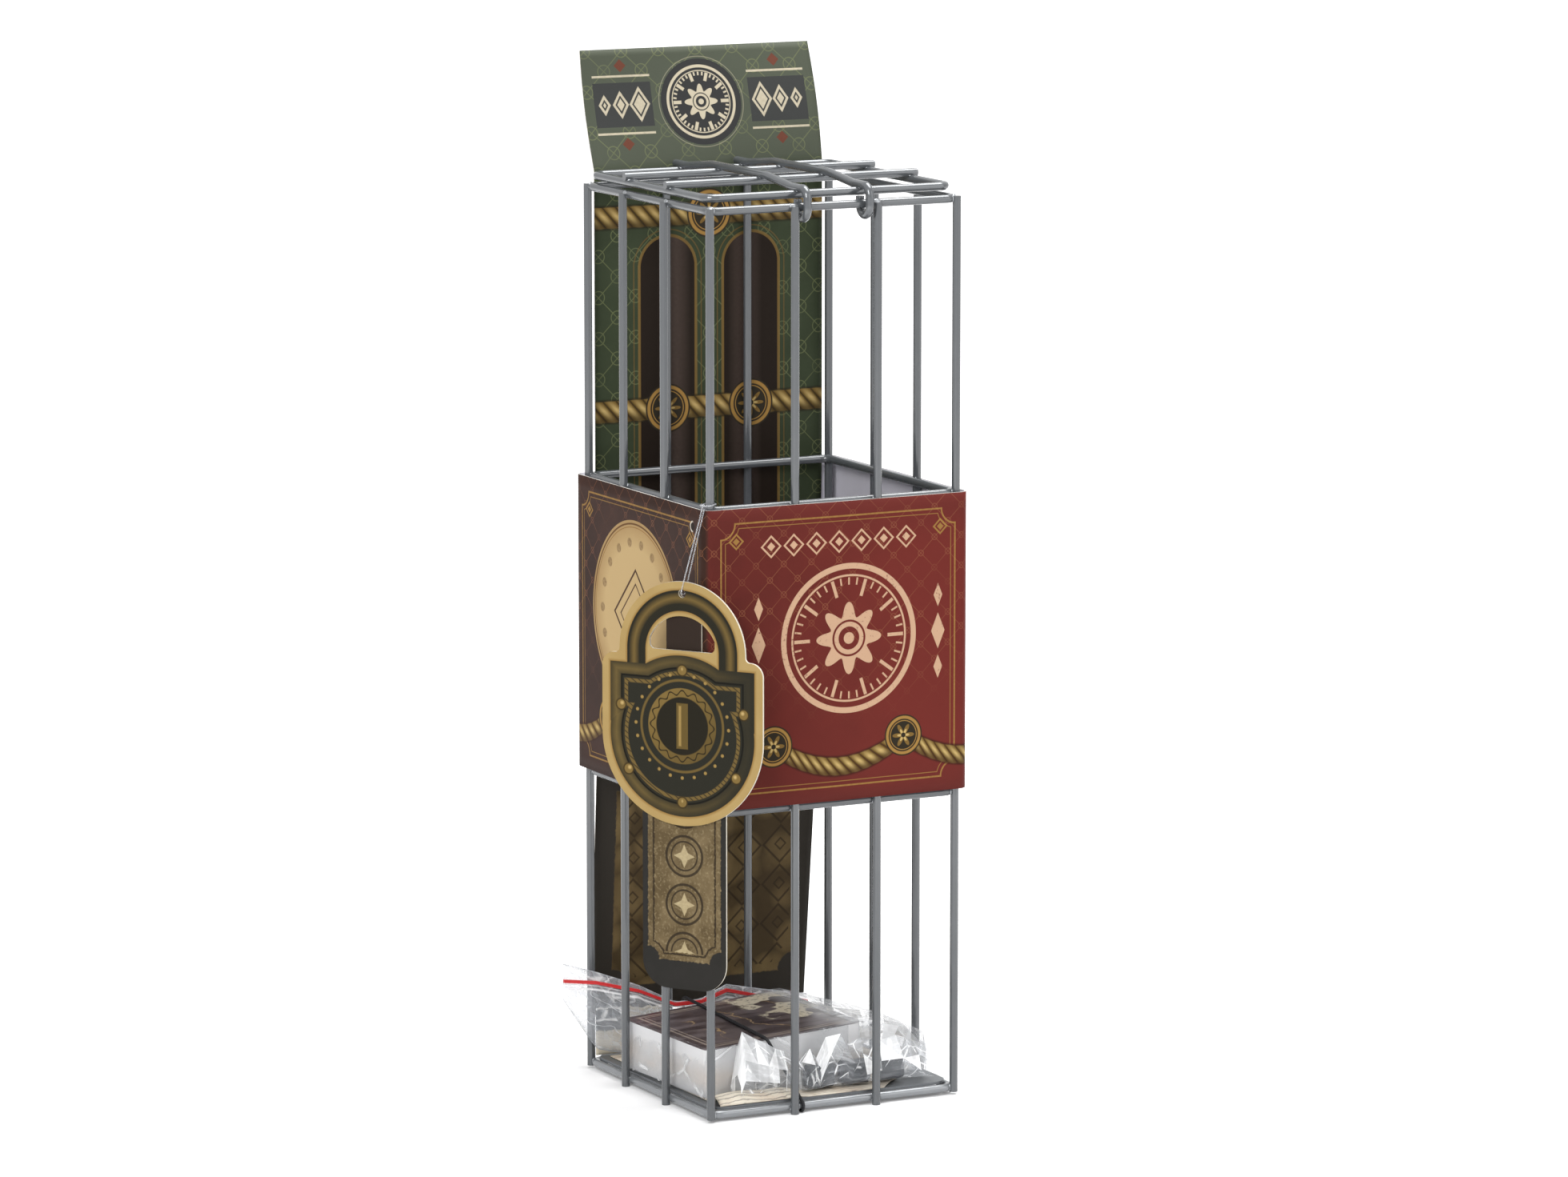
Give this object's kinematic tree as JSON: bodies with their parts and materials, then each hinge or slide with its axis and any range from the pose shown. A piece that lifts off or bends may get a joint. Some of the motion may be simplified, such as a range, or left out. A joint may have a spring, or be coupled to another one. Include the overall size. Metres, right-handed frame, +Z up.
{
  "type": "bottle lock box",
  "caption": "Tall welded wire cage that locks a bottle in: hinged wire lid, printed card band and back card, hanging card tags and a packed set strapped to the floor.",
  "frame": {"origin": "centre of the cage's square footprint, on the surface that the bars stand on", "axes": "+Z up along the bars, -Y the front with the hinge loops and the sleeve's main face, -X the left side, +Y the display card"},
  "size_m": [0.1303, 0.1375, 0.3739],
  "materials": {
    "wire": "satin silver",
    "floor_sheet": "satin dark grey",
    "sleeve_card": "printed coated card",
    "display_card": "printed coated card",
    "padlock_card": "printed coated board",
    "bottle_card": "printed coated card",
    "white_card": "cut card edges",
    "dark_card": "printed coated card",
    "cream_paper": "matt paper",
    "clear_film": "clear film",
    "zip_red": "gloss",
    "dark_plastic": "matt",
    "elastic": "matt",
    "nylon": "clear"
  },
  "bodies": {
    "cage": {"post_front_left": "wire", "post_front_right": "wire", "post_back_left": "wire", "post_back_right": "wire", "bar_front_1": "wire", "bar_front_2": "wire", "bar_back_1": "wire", "bar_back_2": "wire", "bar_left_1": "wire", "bar_left_2": "wire", "bar_right_1": "wire", "bar_right_2": "wire", "ring_bottom": "wire", "ring_lower": "wire", "ring_upper": "wire", "ring_top": "wire", "floor_plate": "floor_sheet", "sleeve": "sleeve_card", "display_card": "display_card", "leaflet_sheet": "cream_paper", "leaflet_folded": "cream_paper", "card_deck": "white_card", "deck_top_card": "dark_card", "zip_bag": "clear_film", "zip_strip": "zip_red", "puzzle_bag": "clear_film", "puzzle_piece_1": "dark_plastic", "puzzle_piece_2": "dark_plastic", "puzzle_piece_3": "dark_plastic", "elastic_cord": "elastic", "string_loop": "nylon"},
    "lid": {"lid_frame": "wire", "lid_cross_wire_front": "wire", "lid_cross_wire_back": "wire", "lid_hinge_wire_left": "wire", "lid_hinge_wire_right": "wire"},
    "padlock_tag": {"padlock_tag": "padlock_card", "tag_string": "nylon"},
    "bottle_tag": {"bottle_tag": "bottle_card"}
  },
  "joints": [
    {"name": "lid_hinge", "type": "hinge", "parent": "cage", "child": "lid", "pos_m": [0, -0.0488, 0.3262], "axis": [1, 0, 0], "range_deg": [0, 145]},
    {"name": "tag_swing", "type": "hinge", "parent": "cage", "child": "padlock_tag", "pos_m": [-0.05336, -0.05211, 0.223], "axis": [-0.5736, 0.8192, 0], "range_deg": [0, 40]},
    {"name": "bottle_tag_turn", "type": "hinge", "parent": "padlock_tag", "child": "bottle_tag", "pos_m": [-0.05711, -0.045, 0.1914], "axis": [-0.8192, -0.5736, 0], "range_deg": [-18, 18]}
  ]
}
